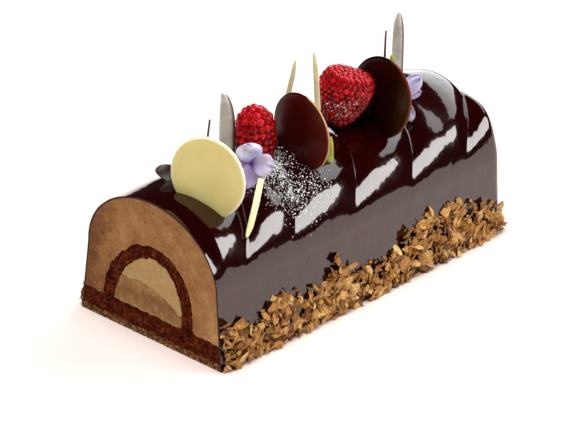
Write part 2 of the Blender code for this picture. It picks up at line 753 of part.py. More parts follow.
    # The origin goes to the middle of the whole cake's bottom
    view = bpy.context.evaluated_depsgraph_get()
    low, high = Vector((1e9,) * 3), Vector((-1e9,) * 3)
    cake = [o for o in bpy.context.scene.objects if o.type == "MESH" and not o.hide_render]
    for piece in cake:
        for corner in piece.evaluated_get(view).bound_box:
            low = Vector(map(min, low, corner))
            high = Vector(map(max, high, corner))
    middle = bpy.data.objects.new("cake", None)
    bpy.context.scene.collection.objects.link(middle)
    middle.location = (-(low.x + high.x) / 2, -(low.y + high.y) / 2, -low.z)
    for piece in cake + [ground]:
        piece.parent = middle


main()
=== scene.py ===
"""Looks of a mirror-glazed chocolate yule log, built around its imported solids.

Lengths are millimetres in the log's own frame until a mesh is made: x is the distance from the cut face,
y the distance from the log's middle and z the height above the table. place() takes them to the row frame
in metres.
"""

import random
from math import copysign, cos, exp, hypot, pi, radians, sin, sqrt, tan

import bmesh
import bpy
import numpy as np
from mathutils import Matrix, Vector, geometry, noise
from mathutils.bvhtree import BVHTree


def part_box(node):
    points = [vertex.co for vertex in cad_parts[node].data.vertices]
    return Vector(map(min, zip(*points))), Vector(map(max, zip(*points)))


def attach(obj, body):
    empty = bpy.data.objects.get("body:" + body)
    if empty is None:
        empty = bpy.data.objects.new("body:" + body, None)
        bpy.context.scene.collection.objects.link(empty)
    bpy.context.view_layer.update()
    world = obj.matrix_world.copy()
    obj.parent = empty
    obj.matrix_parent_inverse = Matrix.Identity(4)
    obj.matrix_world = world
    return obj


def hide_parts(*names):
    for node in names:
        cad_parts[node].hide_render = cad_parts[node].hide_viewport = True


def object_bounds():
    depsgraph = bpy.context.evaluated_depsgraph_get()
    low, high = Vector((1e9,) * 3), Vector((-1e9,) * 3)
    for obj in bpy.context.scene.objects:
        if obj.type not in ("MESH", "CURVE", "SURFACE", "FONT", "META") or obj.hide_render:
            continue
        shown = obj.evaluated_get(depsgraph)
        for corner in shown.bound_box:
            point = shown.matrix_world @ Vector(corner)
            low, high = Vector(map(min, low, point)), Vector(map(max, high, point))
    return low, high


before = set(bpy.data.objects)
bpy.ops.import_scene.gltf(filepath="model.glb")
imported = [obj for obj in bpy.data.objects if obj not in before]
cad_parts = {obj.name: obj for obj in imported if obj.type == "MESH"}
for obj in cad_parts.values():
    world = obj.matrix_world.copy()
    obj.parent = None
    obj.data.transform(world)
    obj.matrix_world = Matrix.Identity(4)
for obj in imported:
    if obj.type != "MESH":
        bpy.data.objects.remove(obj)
size_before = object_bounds()
scene = bpy.context.scene

MM = 0.001

# The log's outer form
LENGTH = 191.0
SPRING_Z = 36.2
TOP_HALF_WIDTH = 40.6
TOP_RISE = 32.2
FOOT_HALF_FRONT = 42.5
FOOT_HALF_BACK = 46.5
END_CORNER = 4.5
GLAZE_CLEAR = 0.4
LAYER_INSET = 2.0

# The moulded pillows
PILLOW_HEIGHT = 2.64
PILLOW_POWER = 2.43
PILLOW_LEAN = 1.14
PILLOW_REACH = 55.1
PILLOW_FOOT = 52.9
PILLOW_EDGE = 26.0
EDGE_FULLNESS = 2.4
PILLOW_SWEEP = 24.1
SWEEP_BEND = 1.2
END_SWEEP = 0.27
END_SWEEP_FROM = 150.0
CREST_SHARE = 1.19
CREST_FADE = 32.9
BACK_SHARE = 0.75
CUT_TAPER = 8.0
BACK_TAPER = 60.0
SIDE_BLEND = 14.0
END_SWELL = 0.6
END_SWELL_FROM = 158.0
END_SWELL_LENGTH = 18.0
VALLEYS = (-63.5, -24.0, 15.7, 46.1, 85.8, 124.4, 162.0, 191.5, 226.5)

# The border of crushed wafer: (x, height) along the front side
BORDER = ((0, 25), (27, 22), (40, 28), (57, 19), (72, 28), (90, 19), (113, 21), (130, 27), (142, 31),
          (160, 28), (191, 15))

# The row frame: the cut face and the front wall of the lowest layer fix the log's place in it
CORNER = Vector((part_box("mousse")[0].x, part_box("crunch_base")[0].y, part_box("crunch_base")[0].z))
ORIGIN = CORNER + Vector((0, (FOOT_HALF_FRONT - LAYER_INSET) * MM, 0))


def place(point):
    return ORIGIN + Vector(point) * MM


def clamp(value, low=0.0, high=1.0):
    return max(low, min(high, value))


def smooth(value):
    value = clamp(value)
    return value * value * (3 - 2 * value)


def wander(*at):
    """Smooth noise at a point, between about -1 and 1."""
    return noise.noise(Vector(at))


# Materials

class Shade:
    """A node material and short ways to add to it."""

    def __init__(self, name, colour, roughness, **sockets):
        self.material = bpy.data.materials.new(name)
        self.material.use_nodes = True
        self.tree = self.material.node_tree
        self.shader = self.tree.nodes["Principled BSDF"]
        self.shader.inputs["Base Color"].default_value = (*colour, 1)
        self.shader.inputs["Roughness"].default_value = roughness
        for socket, value in sockets.items():
            self.shader.inputs[socket.replace("_", " ")].default_value = value
        self.place = self.add("ShaderNodeTexCoord").outputs["Object"]

    def add(self, kind, **settings):
        node = self.tree.nodes.new(kind)
        for key, value in settings.items():
            setattr(node, key, value)
        return node

    def link(self, start, end):
        self.tree.links.new(start, end)

    def grain(self, scale, detail=4.0, rough=0.6, stretch=(1, 1, 1)):
        """Noise whose features are about 1000 / scale millimetres across."""
        mapping = self.add("ShaderNodeMapping")
        mapping.inputs["Scale"].default_value = stretch
        self.link(self.place, mapping.inputs["Vector"])
        node = self.add("ShaderNodeTexNoise")
        node.inputs["Scale"].default_value = scale
        node.inputs["Detail"].default_value = detail
        node.inputs["Roughness"].default_value = rough
        self.link(mapping.outputs["Vector"], node.inputs["Vector"])
        return node.outputs["Fac"]

    def cells(self, scale):
        node = self.add("ShaderNodeTexVoronoi")
        node.inputs["Scale"].default_value = scale
        self.link(self.place, node.inputs["Vector"])
        return node.outputs["Distance"]

    def ramp(self, value, *stops):
        """A colour ramp through (position, colour) stops."""
        node = self.add("ShaderNodeValToRGB")
        ramp = node.color_ramp
        while len(ramp.elements) < len(stops):
            ramp.elements.new(0.5)
        for element, (position, colour) in zip(ramp.elements, stops):
            element.position = position
            element.color = (*colour, 1) if hasattr(colour, "__len__") else (*[colour] * 3, 1)
        self.link(value, node.inputs["Fac"])
        return node.outputs["Color"]

    def mix(self, share, first, second, blend="MIX"):
        node = self.add("ShaderNodeMix", data_type="RGBA", blend_type=blend)
        sockets = [s for s in node.inputs if s.enabled]
        for socket, value in zip(sockets, (share, first, second)):
            if isinstance(value, bpy.types.NodeSocket):
                self.link(value, socket)
            else:
                socket.default_value = (*value, 1) if socket.type == "RGBA" else value
        return [s for s in node.outputs if s.enabled][0]

    def attribute(self, name):
        return self.add("ShaderNodeAttribute", attribute_name=name).outputs["Fac"]

    def colour(self, output):
        self.link(output, self.shader.inputs["Base Color"])

    def roughness(self, value, low, high):
        node = self.add("ShaderNodeMapRange")
        node.inputs["To Min"].default_value = low
        node.inputs["To Max"].default_value = high
        self.link(value, node.inputs["Value"])
        self.link(node.outputs["Result"], self.shader.inputs["Roughness"])

    def bump(self, *heights):
        """Chained bumps: (output, depth in millimetres)."""
        last = None
        for height, depth in heights:
            node = self.add("ShaderNodeBump")
            node.inputs["Distance"].default_value = depth * MM
            self.link(height, node.inputs["Height"])
            if last is not None:
                self.link(last, node.inputs["Normal"])
            last = node.outputs["Normal"]
        self.link(last, self.shader.inputs["Normal"])


def glaze_material():
    shade = Shade("glaze", (0.012, 0.004, 0.003), 0.12, IOR=1.4, Specular_Tint=(1.0, 0.8, 0.72, 1),
                  Coat_Weight=1.0, Coat_Roughness=0.02, Coat_IOR=1.45)
    drift = shade.grain(30, 3)
    shade.colour(shade.ramp(drift, (0.3, (0.014, 0.0004, 0.0003)), (0.7, (0.009, 0.0003, 0.0003))))
    return shade.material


def glaze_cut_material():
    shade = Shade("glaze_cut", (0.03, 0.008, 0.005), 0.6, Specular_IOR_Level=0.15)
    grain = shade.grain(900, 4)
    shade.colour(shade.ramp(grain, (0.3, (0.02, 0.006, 0.004)), (0.7, (0.055, 0.016, 0.01))))
    return shade.material


def wafer_material():
    shade = Shade("wafer", (0.6, 0.36, 0.14), 0.6)
    base = shade.ramp(shade.attribute("tone"), (0.0, (0.14, 0.04, 0.006)), (0.35, (0.41, 0.172, 0.032)),
                      (0.7, (0.67, 0.345, 0.088)), (1.0, (0.93, 0.64, 0.26)))
    spots = shade.ramp(shade.grain(1100, 4), (0.35, 0.5), (0.58, 1.0))
    shade.colour(shade.mix(1.0, base, spots, "MULTIPLY"))
    shade.bump((shade.grain(700, 5), 0.25), (shade.cells(1600), 0.12))
    shade.roughness(shade.grain(500, 2), 0.45, 0.75)
    return shade.material


def layer_material(name, stops, pore_scale, pore_depth, crumb_dark, pit_shade_level=0.5, shine=0.3):
    """A cut layer: its tone attribute picks the colour, under fine grain and the painted shade of small pores
    and sparse pits.
    """
    shade = Shade(name, stops[0][1], 0.8, Specular_IOR_Level=shine)
    crumb = shade.ramp(shade.grain(pore_scale * 0.9, 4, 0.6), (0.38, crumb_dark), (0.58, 1.0))
    # Pores and pits darken the colour: painted shade in the holes of the cut face
    pores = shade.ramp(shade.cells(pore_scale), (0.04, 0.6), (0.2, 1.0))
    pit_shade = shade.ramp(shade.cells(pore_scale * 0.3), (0.05, pit_shade_level), (0.11, 1.0))
    base = shade.mix(1.0, shade.ramp(shade.attribute("tone"), *stops), crumb, "MULTIPLY")
    base = shade.mix(0.8, base, pores, "MULTIPLY")
    shade.colour(shade.mix(1.0, base, pit_shade, "MULTIPLY"))
    rough = shade.grain(pore_scale * 0.6, 6, 0.7)
    shade.bump((rough, pore_depth), (pores, pore_depth * 0.8), (pit_shade, pore_depth * 2))
    return shade.material


def chocolate_material(name, dark, light, rough, scale, coat, rim=None, painted_sheen=None, shine=0.5):
    """Chocolate that drifts between two tones. rim, and the zone for the front side, are (start, end, colour)
    along the edge and the side attribute of the piece. On the plaques both are painted light, a painted rim
    highlight and a painted highlight on the front side; on the blades the rim is the chocolate's own brown
    edge."""
    shade = Shade(name, dark, rough, Coat_Weight=coat, Coat_Roughness=0.08, Specular_IOR_Level=shine)
    tone = shade.ramp(shade.grain(scale, 4, 0.55), (0.32, dark), (0.68, light))
    # On the plaques these zones are painted light: a painted rim highlight and a painted highlight on the
    # front side
    for attribute, zone in (("side", painted_sheen), ("edge", rim)):
        if zone:
            share = shade.ramp(shade.attribute(attribute), (zone[0], 0.0), (zone[1], 1.0))
            tone = shade.mix(share, tone, zone[2])
    shade.colour(tone)
    shade.roughness(shade.grain(scale * 4, 3), rough * 0.8, rough * 1.3)
    shade.bump((shade.grain(scale * 6, 3), 0.03), (shade.grain(scale * 0.6, 2), 0.25))
    return shade.material


def berry_material():
    shade = Shade("raspberry", (0.5, 0.01, 0.02), 0.28, Coat_Weight=0.35, Coat_Roughness=0.12,
                  Specular_IOR_Level=0.3, Subsurface_Weight=0.35, Subsurface_Radius=(1.0, 0.12, 0.08),
                  Subsurface_Scale=1.6 * MM)
    base = shade.ramp(shade.attribute("tone"), (0.0, (0.15, 0.001, 0.002)), (0.6, (0.36, 0.002, 0.005)),
                      (1.0, (0.56, 0.008, 0.014)))
    spots = shade.ramp(shade.grain(700, 3), (0.3, 0.6), (0.6, 1.0))
    shade.colour(shade.mix(0.5, base, spots, "MULTIPLY"))
    shade.bump((shade.grain(1200, 3), 0.05))
    return shade.material


def petal_material():
    """Lilac petals: tone runs from the throat (0) to the rim (1), and tint makes a petal more purple."""
    shade = Shade("petal", (0.5, 0.42, 0.8), 0.5, Subsurface_Weight=0.3, Subsurface_Scale=0.6 * MM,
                  Sheen_Weight=0.25)
    base = shade.ramp(shade.attribute("tone"), (0.0, (0.05, 0.015, 0.14)), (0.12, (0.3, 0.2, 0.58)),
                      (0.35, (0.6, 0.57, 0.88)), (0.8, (0.78, 0.78, 0.95)), (1.0, (0.52, 0.48, 0.8)))
    veins = shade.ramp(shade.attribute("side"), (0.0, 0.78), (0.4, 1.0), (0.85, 1.0), (1.0, 0.7))
    base = shade.mix(0.7, base, veins, "MULTIPLY")
    base = shade.mix(shade.attribute("tint"), base, (0.36, 0.26, 0.6))
    spots = shade.ramp(shade.grain(400, 3), (0.3, 0.7), (0.65, 1.0))
    shade.colour(shade.mix(0.4, base, spots, "MULTIPLY"))
    shade.bump((shade.grain(900, 3), 0.06))
    return shade.material


def leaf_material():
    shade = Shade("leaf", (0.42, 0.6, 0.1), 0.45)
    shade.colour(shade.ramp(shade.grain(150, 3), (0.3, (0.3, 0.38, 0.02)), (0.7, (0.52, 0.58, 0.12))))
    shade.bump((shade.grain(600, 3, 0.5, (1, 1, 0.2)), 0.1))
    return shade.material


def sugar_material():
    shade = Shade("sugar", (0.93, 0.92, 0.9), 0.85)
    shade.colour(shade.ramp(shade.grain(900, 2), (0.3, 0.82), (0.6, 0.95)))
    return shade.material


# Meshes

def object_from(name, bm, material):
    mesh = bpy.data.meshes.new(name)
    bm.to_mesh(mesh)
    bm.free()
    mesh.materials.append(material)
    made = bpy.data.objects.new(name, mesh)
    scene.collection.objects.link(made)
    return made


def finish_piece(name, bm, material, replaces, smooth_angle, attributes=None):
    """Makes a shown piece from a bmesh in millimetres and rides it on the body."""
    bmesh.ops.recalc_face_normals(bm, faces=bm.faces)
    for vert in bm.verts:
        vert.co = place(vert.co)
    piece = object_from(name, bm, material)
    piece.data.shade_smooth()
    if smooth_angle < 180:
        piece.data.set_sharp_from_angle(angle=radians(smooth_angle))
    for key, values in (attributes or {}).items():
        layer = piece.data.attributes.new(key, "FLOAT", "POINT")
        layer.data.foreach_set("value", np.asarray(values, np.float32))
    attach(piece, "root")
    if replaces:
        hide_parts(*replaces)
    return piece


def bridge(bm, rings):
    """Joins closed rings of vertices one after the other and caps both ends."""
    count = len(rings[0])
    for a, b in zip(rings, rings[1:]):
        for k in range(count):
            n = (k + 1) % count
            bm.faces.new((a[k], a[n], b[n], b[k]))
    bm.faces.new(rings[0])
    bm.faces.new(rings[-1])


def turns(count):
    return [2 * pi * k / count for k in range(count)]


def polar(reach, angle, z):
    return Vector((reach * cos(angle), reach * sin(angle), z))


# The outer section: c is the arc distance from the crest, below 0 on the front side
ARC_ANGLE = np.linspace(0, pi, 721)
ARC_Y = -TOP_HALF_WIDTH * np.cos(ARC_ANGLE)
ARC_Z = SPRING_Z + TOP_RISE * np.sin(ARC_ANGLE)
ARC_RUN = np.concatenate([[0.0], np.cumsum(np.hypot(np.diff(ARC_Y), np.diff(ARC_Z)))])
HALF_ARC = float(ARC_RUN[-1]) / 2


def foot_half(side):
    return FOOT_HALF_FRONT if side < 0 else FOOT_HALF_BACK


def wall_length(side):
    return hypot(foot_half(side) - TOP_HALF_WIDTH, SPRING_Z)


def section(c):
    """The plain section's point (y, z) and its outward normal at arc distance c."""
    side = -1 if c < 0 else 1
    if abs(c) <= HALF_ARC:
        angle = float(np.interp(c + HALF_ARC, ARC_RUN, ARC_ANGLE))
        point = (-TOP_HALF_WIDTH * cos(angle), SPRING_Z + TOP_RISE * sin(angle))
        normal = Vector((-TOP_RISE * cos(angle), TOP_HALF_WIDTH * sin(angle)))
    else:
        share = (abs(c) - HALF_ARC) / wall_length(side)
        flare = foot_half(side) - TOP_HALF_WIDTH
        point = (side * (TOP_HALF_WIDTH + flare * share), SPRING_Z * (1 - share))
        normal = Vector((side * SPRING_Z, flare))
    normal.normalize()
    return Vector(point), normal


def relief(x, c):
    """Height of the moulded pillows over the plain section."""
    climb = 1 - abs(c) / PILLOW_REACH
    if climb <= 0:
        return 0.0
    sweep = PILLOW_SWEEP * (1 + END_SWEEP * smooth((x - END_SWEEP_FROM) / (LENGTH - END_SWEEP_FROM)))
    along = x - sweep * sin(pi / 2 * climb) ** SWEEP_BEND
    start = max(v for v in VALLEYS if v <= along)
    end = min(v for v in VALLEYS if v > along)
    across = (along - start) / (end - start)
    pillow = 1 - abs(2 * across ** PILLOW_LEAN - 1) ** PILLOW_POWER
    foot = clamp((PILLOW_FOOT - abs(c)) / PILLOW_EDGE)
    edge = foot ** EDGE_FULLNESS * (1 + EDGE_FULLNESS * (1 - foot))
    back = smooth(0.5 + c / (2 * SIDE_BLEND))
    full = 1 - (1 - BACK_SHARE) * back
    crest = full - (full - CREST_SHARE) * clamp((CREST_FADE - abs(c)) / CREST_FADE)
    taper = (1 - back) * smooth(x / CUT_TAPER) + back * smooth(x / BACK_TAPER)
    swollen = 1 + END_SWELL * smooth((x - END_SWELL_FROM) / END_SWELL_LENGTH)
    return PILLOW_HEIGHT * pillow * edge * crest * taper * swollen


def ripple(x, c):
    """The slight unevenness of poured glaze, with fine streaks down the side."""
    waves = 0.1 * wander(x / 9, c / 9, 3.0) + 0.035 * wander(x / 2.6, c / 2.6, 9.0)
    return waves + 0.008 * wander(x / 1.1, c / 8.0, 6.0)


def log_point(x, c, lift=0.0):
    """A point on the glaze, lifted along its plain normal."""
    point, normal = section(c)
    yz = point + normal * (lift + relief(x, c) + ripple(x, c))
    return Vector((x, yz.x, max(yz.y, GLAZE_CLEAR)))


GLAZE_STEP = 0.8
GLAZE_STATIONS = 230
CORNER_STATIONS = 8
# The glaze as it shows at the cut: the layers reach further out there than their solids
CUT_GLAZE = 0.9


def glaze_piece(material, cut_material):
    low = -HALF_ARC - wall_length(-1) + GLAZE_CLEAR
    high = HALF_ARC + wall_length(1) - GLAZE_CLEAR
    rows = np.linspace(low, high, round((high - low) / GLAZE_STEP))
    straight = LENGTH - END_CORNER
    stations = [(straight * k / GLAZE_STATIONS, 0.0) for k in range(GLAZE_STATIONS + 1)]
    for k in range(1, CORNER_STATIONS + 1):
        turn = pi / 2 * k / CORNER_STATIONS
        stations.append((straight + END_CORNER * sin(turn), END_CORNER * (1 - cos(turn))))
    bm = bmesh.new()
    outer = [[bm.verts.new(log_point(x, c, -inset)) for c in rows] for x, inset in stations]
    inner = []
    for x in (0.0, LENGTH - LAYER_INSET):
        ring = []
        for c in rows:
            point, normal = section(c)
            yz = point - normal * CUT_GLAZE
            ring.append(bm.verts.new((x, yz.x, max(yz.y, GLAZE_CLEAR))))
        inner.append(ring)
    count = len(rows)
    for a, b in (*zip(outer, outer[1:]), (outer[0], inner[0]), inner):
        for j in range(count - 1):
            bm.faces.new((a[j], b[j], b[j + 1], a[j + 1]))
    for j in (0, count - 1):
        bm.faces.new([ring[j] for ring in (*outer, inner[1], inner[0])])
    bm.faces.new(outer[-1])
    bm.faces.new(inner[1])
    for face in bm.faces:
        face.material_index = int(max(v.co.x for v in face.verts) < 0.01)
    piece = finish_piece("glaze_shell", bm, material, ["glaze"], 70)
    piece.data.materials.append(cut_material)


# Crushed wafer

def border_height(x):
    return float(np.interp(x, *zip(*BORDER)))


FLAKE_CORNERS = (7, 8, 9, 10, 11)
FLAKE_THICK = (0.22, 0.5)
# The flakes stay close to the box of the solids on both sides
FLAKE_REACH = [(corner[1] - ORIGIN.y) / MM + out for corner, out in zip(size_before, (-1.2, 1.2))]


def wafer_flake(bm, tones, centre, outward, long_half, lift, tilt, rng):
    """One broken shard of wafer: a thin, gently bent plate with a jagged outline."""
    along = Vector((0, 0, 1)).cross(outward).normalized()
    upward = outward.cross(along)
    basis = Matrix((along, upward, outward)).transposed()
    turn = basis @ Matrix.Rotation(rng.uniform(0, 2 * pi), 3, "Z")
    for axis in "XY":
        turn = turn @ Matrix.Rotation(rng.gauss(0, tilt), 3, axis)
    corners = rng.choice(FLAKE_CORNERS)
    thick = rng.uniform(*FLAKE_THICK)
    bend, twist = rng.uniform(-0.22, 0.22), rng.uniform(-0.2, 0.2)
    narrow = rng.uniform(0.45, 0.95)
    tone = clamp(rng.gauss(0.56, 0.27))
    outline = []
    for k in range(corners):
        angle = 2 * pi * (k + rng.uniform(-0.35, 0.35)) / corners
        reach = rng.uniform(0.5, 1.15) * long_half
        outline.append((reach * cos(angle), reach * narrow * sin(angle), rng.uniform(-0.12, 0.12)))

    def point_at(u, v, w):
        w += bend * u * u / long_half + twist * u * v / long_half
        point = centre + outward * lift + turn @ Vector((u, v, w))
        return Vector((clamp(point.x, 0.05, LENGTH + 4.0), clamp(point.y, *FLAKE_REACH), max(point.z, 0.05)))

    rims = []
    for sign in (-1, 1):
        ring = []
        for u, v, w in outline:
            ring.append(bm.verts.new(point_at(u, v, w + sign * thick / 2)))
            tones.append(clamp(tone - 0.12 + rng.uniform(-0.1, 0.1)))
        middle = bm.verts.new(point_at(0, 0, sign * thick / 2 * rng.uniform(0.9, 1.6)))
        tones.append(clamp(tone + 0.1))
        rims.append((ring, middle))
    (low, low_mid), (high, high_mid) = rims
    for k in range(corners):
        n = (k + 1) % corners
        bm.faces.new((low[n], low[k], low_mid))
        bm.faces.new((high[k], high[n], high_mid))
        bm.faces.new((low[k], low[n], high[n], high[k]))


# Kinds of flake, from crumbs at the bottom of the heap to the large shards on it:
# (share of the count, half length, lift from the wall, tilt)
FLAKE_KINDS = (
    (0.3, (0.7, 1.3), (0.2, 1.8), 0.9),
    (0.34, (1.4, 2.3), (0.4, 2.2), 0.6),
    (0.36, (2.3, 4.3), (1.2, 3.2), 0.45),
)
WALL_FLAKES = 2000
WALL_FLAKES_TOP = 33
END_FLAKES = 330
END_FLAKES_SIDES = (-40, 43)
END_FLAKES_TOP = 15
END_BORDER = 11


def flake_kind(rng):
    pick = rng.random()
    for share, half, lift, tilt in FLAKE_KINDS:
        pick -= share
        if pick <= 0:
            break
    return rng.uniform(*half), rng.uniform(*lift), tilt


def wafer_piece(material):
    rng = random.Random(5)
    bm = bmesh.new()
    tones = []
    for side in (-1, 1):
        for _ in range(WALL_FLAKES):
            x = rng.uniform(0.8, LENGTH - 1.5)
            z = rng.uniform(0.8, WALL_FLAKES_TOP)
            edge = border_height(x if side < 0 else LENGTH - x)
            edge += 5 * wander(x / 7, side * 4.0, 1.0) - 2.5
            if z > edge + rng.uniform(-4.0, 2.0):
                continue
            half, lift, tilt = flake_kind(rng)
            lift *= 1 - 0.45 * clamp(z / max(edge, 1))
            point, normal = section(side * (HALF_ARC + wall_length(side) * (1 - z / SPRING_Z)))
            centre = Vector((clamp(x, half * 0.8, LENGTH - 1), point.x, point.y))
            wafer_flake(bm, tones, centre, Vector((0, normal.x, normal.y)), half, lift, tilt, rng)
    for _ in range(END_FLAKES):
        y = rng.uniform(*END_FLAKES_SIDES)
        z = rng.uniform(0.8, END_FLAKES_TOP)
        if z > END_BORDER - abs(y) * 0.1 + 4 * wander(y / 7, 0, 6.0) + rng.uniform(-4, 1):
            continue
        half, lift, tilt = flake_kind(rng)
        wafer_flake(bm, tones, Vector((LENGTH, y, z)), Vector((1, 0, 0)), half, lift * 0.7, tilt, rng)
    finish_piece("wafer_border", bm, material, (), 12, {"tone": tones})


# Layers at the cut

ARCH_FOOT = 12.4
GAP = 0.3
# Half the gap between two layers that touch
JOIN = 0.05
ARCH_OUTER = {"half": 28.4, "top": 46.6, "foot_y": 3.6, "top_y": -1.6}
ARCH_INNER = {"half": 21.1, "top": 40.6, "foot_y": 3.3, "top_y": -1.2}
CRUNCH_TOP = 3.4
SPONGE_TOP = 12.4
CREAM_LINE_TOP = 27.1
CREAM_LINE_Y = 9.0
CREAM_LINE_FALL = 0.0125


def arch(form, grow, steps=60):
    points = []
    for k in range(steps + 1):
        angle = pi * k / steps
        rise = sin(angle)
        middle = form["foot_y"] + (form["top_y"] - form["foot_y"]) * rise
        y = middle + (form["half"] + grow) * cos(angle)
        points.append((y, ARCH_FOOT + GAP / 2 + (form["top"] + grow - ARCH_FOOT - GAP / 2) * rise))
    return points


def wall(side, z):
    """How far the glaze is from the log's middle at height z."""
    return foot_half(side) - (foot_half(side) - TOP_HALF_WIDTH) * z / SPRING_Z


def inner_wall(z, inset):
    return [wall(side, z) - inset for side in (-1, 1)]


def slab_outline(z_low, z_high, inset):
    low, high = inner_wall(z_low, inset), inner_wall(z_high, inset)
    return [(-low[0], z_low), (low[1], z_low), (high[1], z_high), (-high[0], z_high)]


def mousse_outline(inset):
    z_low = SPONGE_TOP + 0.1
    front, back = inner_wall(z_low, inset)
    outline = [(-front, z_low)]
    for k in range(65):
        point, normal = section(HALF_ARC * (k / 32 - 1))
        outline.append(tuple(point - normal * inset))
    outline.append((back, z_low))
    outer = arch(ARCH_OUTER, JOIN)
    return outline + [(outer[0][0], z_low)] + outer[1:-1] + [(outer[-1][0], z_low)]


def cream_line(y):
    return CREAM_LINE_TOP - CREAM_LINE_FALL * (y - CREAM_LINE_Y) ** 2


def cream_outlines():
    inner = arch(ARCH_INNER, -JOIN, 90)
    above = [p for p in inner if p[1] > cream_line(p[0]) + JOIN]
    below = [p for p in inner if p[1] < cream_line(p[0]) - JOIN]
    back = [p for p in below if p[0] > 0]
    front = [p for p in below if p[0] < 0]
    y_front, y_back = above[-1][0], above[0][0]
    steps = [y_front + (y_back - y_front) * k / 30 for k in range(1, 30)]
    upper = above + [(y, cream_line(y) + JOIN) for y in steps]
    lower = front + back + [(y, cream_line(y) - JOIN) for y in reversed(steps)]
    return upper, lower


def refined(outline, step):
    points = []
    for (y0, z0), (y1, z1) in zip(outline, outline[1:] + outline[:1]):
        count = max(1, round(hypot(y1 - y0, z1 - z0) / step))
        points += [(y0 + (y1 - y0) * k / count, z0 + (z1 - z0) * k / count) for k in range(count)]
    return points


def inside(y, z, outline):
    hit = False
    for (y0, z0), (y1, z1) in zip(outline, outline[1:] + outline[:1]):
        if (z0 > z) != (z1 > z) and y < (y1 - y0) * (z - z0) / (z1 - z0) + y0:
            hit = not hit
    return hit


def wobbled(y, z):
    """Layers were spread by hand: their borders wander a little, but not along the glaze."""
    if z < SPRING_Z:
        clear = wall(y, z) - abs(y)
    else:
        clear = TOP_RISE * (1 - hypot(y / TOP_HALF_WIDTH, (z - SPRING_Z) / TOP_RISE))
    if z < 1.0:
        lift = 0.35 + 1.6 * wander(y / 1.3, 0.0, 2.0)
        return y, z + max(0.0, lift) * (1 - z)
    share = smooth((clear - 1.2) / 3)
    moves = []
    for wide_seed, fine_seed in ((11.0, 4.0), (23.0, 8.0)):
        move = 0.75 * wander(y / 3.5, z / 3.5, wide_seed) + 0.6 * wander(y / 1.1, z / 1.1, fine_seed)
        moves.append(share * move)
    return y + moves[0], z + moves[1]


def layer_piece(name, outline, step, depth_at, tone_at, material):
    """A layer that runs through the log, with a finely meshed cut face whose depth varies."""
    rng = random.Random(len(outline))
    rim = refined(outline, step)
    points = list(rim)
    (low_y, high_y), (low_z, high_z) = [(min(line), max(line)) for line in zip(*rim)]
    rows = int((high_z - low_z) / (step * 0.87))
    cols = int((high_y - low_y) / step)
    edge = np.array(rim)
    for i in range(rows):
        for j in range(cols + 1):
            y = low_y + (j + 0.5 * (i % 2)) * step + rng.uniform(-0.2, 0.2) * step
            z = low_z + (i + 0.5) * step * 0.87 + rng.uniform(-0.2, 0.2) * step
            if np.hypot(*(edge - (y, z)).T).min() >= step * 0.6 and inside(y, z, outline):
                points.append((y, z))
    count = len(rim)
    flat = [Vector(p) for p in points]
    vertices, _, faces, *_ = geometry.delaunay_2d_cdt(flat, [], [list(range(count))], 1, 1e-5)
    bm = bmesh.new()
    front = []
    for k, co in enumerate(vertices):
        x = 0.0 if k < count else depth_at(co.x, co.y)
        front.append(bm.verts.new((max(x, 0.0), *wobbled(co.x, co.y))))
    x_end = LENGTH - LAYER_INSET - 0.1
    back = [bm.verts.new((x_end, *wobbled(*vertices[k]))) for k in range(count)]
    for face in faces:
        bm.faces.new([front[k] for k in face])
    for k in range(count):
        n = (k + 1) % count
        bm.faces.new((front[k], front[n], back[n], back[k]))
    bm.faces.new(back)
    tones = [clamp(tone_at(v.co.y, v.co.z)) for v in bm.verts]
    finish_piece(name + "_cut", bm, material, [name], 60, {"tone": tones})


def crumb_depth(scale, depth, pores=0.0):
    """Depth of a cut face: rough grain, and round pores sunk into it."""
    def at(y, z):
        grain = noise.fractal(Vector((y / scale, z / scale, scale)), 1.0, 2.0, 4)
        sunk = 0.0
        if pores:
            distance = noise.voronoi(Vector((y / 3.4, z / 3.4, 5.0)))[0][0]
            sunk = pores * clamp(1 - distance / 0.2)
        return depth * (0.6 + grain) + sunk
    return at


def drift(y, z, scale, seed):
    return noise.fractal(Vector((y / scale, z / scale, seed)), 0.8, 2.0, 4)


def mousse_tone(y, z):
    """Paler round the arch and towards the front foot, darker and redder along the back side."""
    centre = (ARCH_OUTER["top_y"], ARCH_FOOT)
    away = hypot((y - centre[0]) / ARCH_OUTER["half"], (z - centre[1]) / (ARCH_OUTER["top"] - ARCH_FOOT))
    halo = clamp(1 - abs(away - 1.28) / 0.2)
    back = smooth((y - 18) / 22)
    front = smooth((-y - 22) / 14) * smooth((40 - z) / 25)
    spots = 0.24 * drift(y, z, 7, 2.0) + 0.2 * drift(y, z, 1.6, 4.0)
    return 0.5 + 0.18 * halo - 0.46 * back + 0.2 * front + spots


def drifting(base, *parts):
    """A tone that drifts by (amount, scale, seed) parts."""
    return lambda y, z: base + sum(amount * drift(y, z, scale, seed) for amount, scale, seed in parts)


def lower_cream_tone(y, z):
    """Darkest in the middle, where it was spread thick."""
    middle = smooth(1 - abs(z - 19.0) / 7)
    return 0.75 - 0.35 * middle + 0.3 * drift(y, z, 3.2, 5.0)
